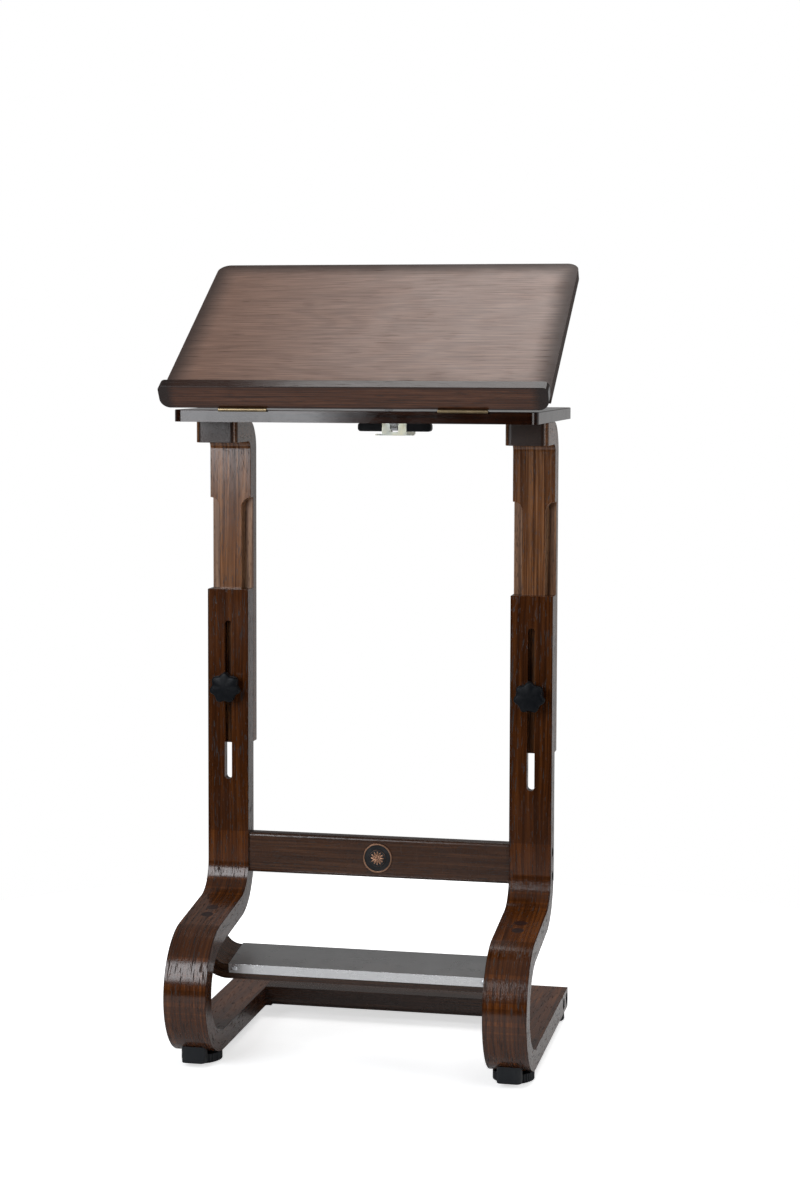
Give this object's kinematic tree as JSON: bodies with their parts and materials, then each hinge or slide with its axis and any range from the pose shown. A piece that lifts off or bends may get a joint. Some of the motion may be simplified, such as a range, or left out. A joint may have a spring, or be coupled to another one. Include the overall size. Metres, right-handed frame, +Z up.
{
  "type": "adjustable reading desk",
  "caption": "Standing desk with a sloping top and ledge for an open album or book, telescoping bentwood legs, a footrest and levelling feet.",
  "frame": {"origin": "on the floor, at the middle of the footprint", "axes": "+X across toward the right of someone reading at it, +Y from the reader to the rear, +Z up"},
  "size_m": [0.6, 0.462, 1.2511],
  "materials": {
    "stained_wood": "dark walnut stain under satin lacquer",
    "plug_wood": "end grain plugs, stained and lacquered",
    "black_plastic": "moulded black plastic",
    "rubber": "dull black glide",
    "stainless": "brushed along its length",
    "zinc_steel": "bright zinc plated",
    "yellow_zinc": "yellow passivated zinc",
    "brass": "satin brass",
    "copper": "plain copper coloured medallion, no lettering"
  },
  "bodies": {
    "base": {"leg_lower_left": "stained_wood", "rail_plugs_left": "plug_wood", "arm_plugs_left": "plug_wood", "shelf_plugs_left": "plug_wood", "toe_block_left": "black_plastic", "leg_lower_right": "stained_wood", "rail_plugs_right": "plug_wood", "arm_plugs_right": "plug_wood", "shelf_plugs_right": "plug_wood", "toe_block_right": "black_plastic", "cross_rail": "stained_wood", "badge_ring": "copper", "badge_disc": "copper", "rear_rail": "stained_wood", "footrest_tray": "stained_wood", "footrest_plate": "stainless", "plate_screws": "zinc_steel", "insert_front_left": "zinc_steel", "insert_front_right": "zinc_steel", "insert_rear_left": "zinc_steel", "insert_rear_right": "zinc_steel"},
    "upper": {"leg_upper_left": "stained_wood", "bolt_left": "zinc_steel", "washer_left": "zinc_steel", "leg_upper_right": "stained_wood", "bolt_right": "zinc_steel", "washer_right": "zinc_steel", "base_board": "stained_wood", "prop_track": "yellow_zinc", "track_screws": "zinc_steel", "hinge_lower_left": "brass", "hinge_pin_left": "brass", "hinge_lower_right": "brass", "hinge_pin_right": "brass"},
    "knob_left": {"knob_left": "black_plastic"},
    "knob_right": {"knob_right": "black_plastic"},
    "top": {"top_board": "stained_wood", "ledge": "stained_wood", "hinge_upper_left": "brass", "hinge_upper_right": "brass", "prop_lug": "yellow_zinc", "prop_pin": "zinc_steel"},
    "prop": {"prop_arm": "zinc_steel", "prop_bar": "zinc_steel", "prop_grip_left": "black_plastic", "prop_grip_right": "black_plastic"},
    "pad_front_left": {"pad_front_left": "rubber"},
    "wheel_front_left": {"wheel_front_left": "black_plastic", "stud_front_left": "zinc_steel"},
    "pad_front_right": {"pad_front_right": "rubber"},
    "wheel_front_right": {"wheel_front_right": "black_plastic", "stud_front_right": "zinc_steel"},
    "pad_rear_left": {"pad_rear_left": "rubber"},
    "wheel_rear_left": {"wheel_rear_left": "black_plastic", "stud_rear_left": "zinc_steel"},
    "pad_rear_right": {"pad_rear_right": "rubber"},
    "wheel_rear_right": {"wheel_rear_right": "black_plastic", "stud_rear_right": "zinc_steel"}
  },
  "joints": [
    {"name": "height_slide", "type": "slide", "parent": "base", "child": "upper", "axis": [0, 0, 1], "range_m": [-0.13, 0.1]},
    {"name": "top_tilt", "type": "hinge", "parent": "upper", "child": "top", "pos_m": [0, -0.1723, 1.019], "axis": [1, 0, 0], "range_deg": [-32, 0]},
    {"name": "prop_swing", "type": "hinge", "parent": "top", "child": "prop", "pos_m": [0, -0.00153, 1.10229], "axis": [1, 0, 0], "range_deg": [0, 64]},
    {"name": "knob_left_turn", "type": "hinge", "parent": "upper", "child": "knob_left", "pos_m": [-0.2473, 0, 0.5681], "axis": [0, 1, 0], "continuous": true},
    {"name": "knob_right_turn", "type": "hinge", "parent": "upper", "child": "knob_right", "pos_m": [0.2473, 0, 0.5681], "axis": [0, 1, 0], "continuous": true},
    {"name": "foot_front_left_lift", "type": "slide", "parent": "base", "child": "pad_front_left", "axis": [0, 0, -1], "range_m": [0, 0.006]},
    {"name": "foot_front_left_screw", "type": "hinge", "parent": "pad_front_left", "child": "wheel_front_left", "pos_m": [-0.2473, -0.136, 0.008], "axis": [0, 0, 1], "range_deg": [0, 1440]},
    {"name": "foot_front_right_lift", "type": "slide", "parent": "base", "child": "pad_front_right", "axis": [0, 0, -1], "range_m": [0, 0.006]},
    {"name": "foot_front_right_screw", "type": "hinge", "parent": "pad_front_right", "child": "wheel_front_right", "pos_m": [0.2473, -0.136, 0.008], "axis": [0, 0, 1], "range_deg": [0, 1440]},
    {"name": "foot_rear_left_lift", "type": "slide", "parent": "base", "child": "pad_rear_left", "axis": [0, 0, -1], "range_m": [0, 0.006]},
    {"name": "foot_rear_left_screw", "type": "hinge", "parent": "pad_rear_left", "child": "wheel_rear_left", "pos_m": [-0.2473, 0.199, 0.008], "axis": [0, 0, 1], "range_deg": [0, 1440]},
    {"name": "foot_rear_right_lift", "type": "slide", "parent": "base", "child": "pad_rear_right", "axis": [0, 0, -1], "range_m": [0, 0.006]},
    {"name": "foot_rear_right_screw", "type": "hinge", "parent": "pad_rear_right", "child": "wheel_rear_right", "pos_m": [0.2473, 0.199, 0.008], "axis": [0, 0, 1], "range_deg": [0, 1440]}
  ],
  "couplings": [
    {"joint": "prop_swing", "follows": "top_tilt", "ratio": -2},
    {"joint": "foot_front_left_lift", "follows": "foot_front_left_screw", "m_per_rad": 0.00023873},
    {"joint": "foot_front_right_lift", "follows": "foot_front_right_screw", "m_per_rad": 0.00023873},
    {"joint": "foot_rear_left_lift", "follows": "foot_rear_left_screw", "m_per_rad": 0.00023873},
    {"joint": "foot_rear_right_lift", "follows": "foot_rear_right_screw", "m_per_rad": 0.00023873}
  ]
}
